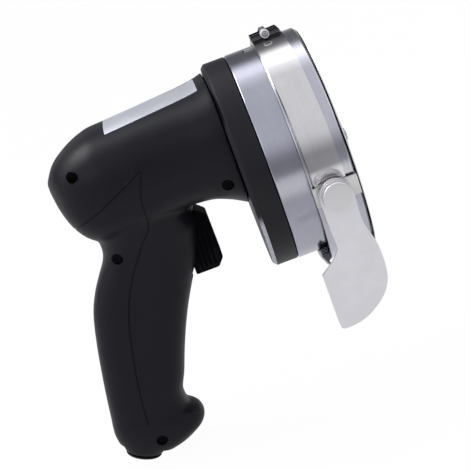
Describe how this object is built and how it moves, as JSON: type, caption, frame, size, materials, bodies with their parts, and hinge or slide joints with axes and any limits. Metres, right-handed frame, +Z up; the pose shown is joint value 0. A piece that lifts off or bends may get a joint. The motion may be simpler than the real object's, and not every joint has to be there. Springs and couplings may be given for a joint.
{
  "type": "electric kebab slicer",
  "caption": "Hand-held motor slicer: black pistol grip, trigger, round knife in front of a sliding stainless guard ring, strap clamp, knurled knob and swinging gauge plate.",
  "frame": {"origin": "centre of the tool's bounding box at rest", "axes": "+X along the motor shaft towards the blade, +Z up, -Y the side with the gauge knob"},
  "size_m": [0.165, 0.135, 0.1906],
  "materials": {
    "black_plastic": "fine grained, low sheen",
    "trigger_plastic": "fine grained, low sheen",
    "collar_black": "smooth, satin",
    "satin_aluminium": "satin turned",
    "polished_stainless": "polished, faintly brushed round",
    "satin_steel": "satin",
    "plain_steel": "ground",
    "can_steel": "plain",
    "copper": "bright copper",
    "brass": "plain",
    "carbon": "dull carbon",
    "rubber": "dull"
  },
  "bodies": {
    "housing": {"housing_near": "black_plastic", "housing_far": "black_plastic", "rating_plate": "satin_steel", "housing_screw_1": "plain_steel", "housing_screw_2": "plain_steel", "housing_screw_3": "plain_steel", "housing_screw_4": "plain_steel", "front_collar": "collar_black", "head_ring": "satin_aluminium", "guide_key": "polished_stainless", "head_screw_1": "plain_steel", "head_screw_2": "plain_steel", "head_screw_3": "plain_steel", "head_screw_4": "plain_steel", "motor_can": "can_steel", "brush_holder": "trigger_plastic", "brush_near": "carbon", "brush_far": "carbon", "motor_rear_bearing": "plain_steel", "motor_front_bearing": "plain_steel", "spindle_rear_bearing": "plain_steel", "spindle_front_bearing": "plain_steel", "shaft_seal": "rubber", "switch_body": "trigger_plastic", "terminal_near": "brass", "terminal_far": "brass", "trigger_spring": "plain_steel", "cord_gland": "rubber"},
    "guard": {"guard_ring": "polished_stainless", "slice_deflector": "satin_steel", "strap_near": "polished_stainless", "strap_far": "polished_stainless", "clip_near": "polished_stainless", "clip_far": "polished_stainless", "knob_stud": "plain_steel", "far_rivet": "plain_steel", "clamp_bolt": "plain_steel"},
    "gauge_plate": {"gauge_plate": "satin_steel"},
    "gauge_knob": {"gauge_knob": "satin_steel"},
    "clamp_nut": {"clamp_nut": "plain_steel"},
    "blade": {"blade": "polished_stainless", "blade_nut": "satin_steel", "blade_spindle": "plain_steel", "drive_gear": "plain_steel"},
    "motor": {"motor_shaft": "plain_steel", "armature": "can_steel", "rear_winding": "copper", "front_winding": "copper", "commutator": "copper", "cooling_fan": "trigger_plastic", "pinion": "plain_steel"},
    "trigger": {"trigger": "trigger_plastic"}
  },
  "joints": [
    {"name": "guard_slide", "type": "slide", "parent": "housing", "child": "guard", "axis": [-1, 0, 0], "range_m": [0, 0.008]},
    {"name": "gauge_swing", "type": "hinge", "parent": "guard", "child": "gauge_plate", "pos_m": [0.0627, -0.0537, 0.02035], "axis": [0, -1, 0], "range_deg": [-30, 90]},
    {"name": "knob_turn", "type": "hinge", "parent": "guard", "child": "gauge_knob", "pos_m": [0.0627, -0.0537, 0.02035], "axis": [0, -1, 0], "range_deg": [0, 360]},
    {"name": "clamp_nut_turn", "type": "hinge", "parent": "guard", "child": "clamp_nut", "pos_m": [0.06037, 0.0003, 0.09295], "axis": [0, -1, 0], "range_deg": [0, 360]},
    {"name": "blade_spin", "type": "hinge", "parent": "housing", "child": "blade", "pos_m": [0.03795, 0.0063, 0.03055], "axis": [1, 0, 0], "continuous": true},
    {"name": "motor_spin", "type": "hinge", "parent": "housing", "child": "motor", "pos_m": [0.03795, 0.0063, 0.05055], "axis": [1, 0, 0], "continuous": true},
    {"name": "trigger_pull", "type": "slide", "parent": "housing", "child": "trigger", "axis": [-1, 0, 0], "range_m": [0, 0.005], "stiffness_N_per_m": 900, "springref_m": -0.004, "deforming": ["trigger_spring"]}
  ],
  "couplings": [
    {"joint": "motor_spin", "follows": "blade_spin", "ratio": -3.1667}
  ]
}
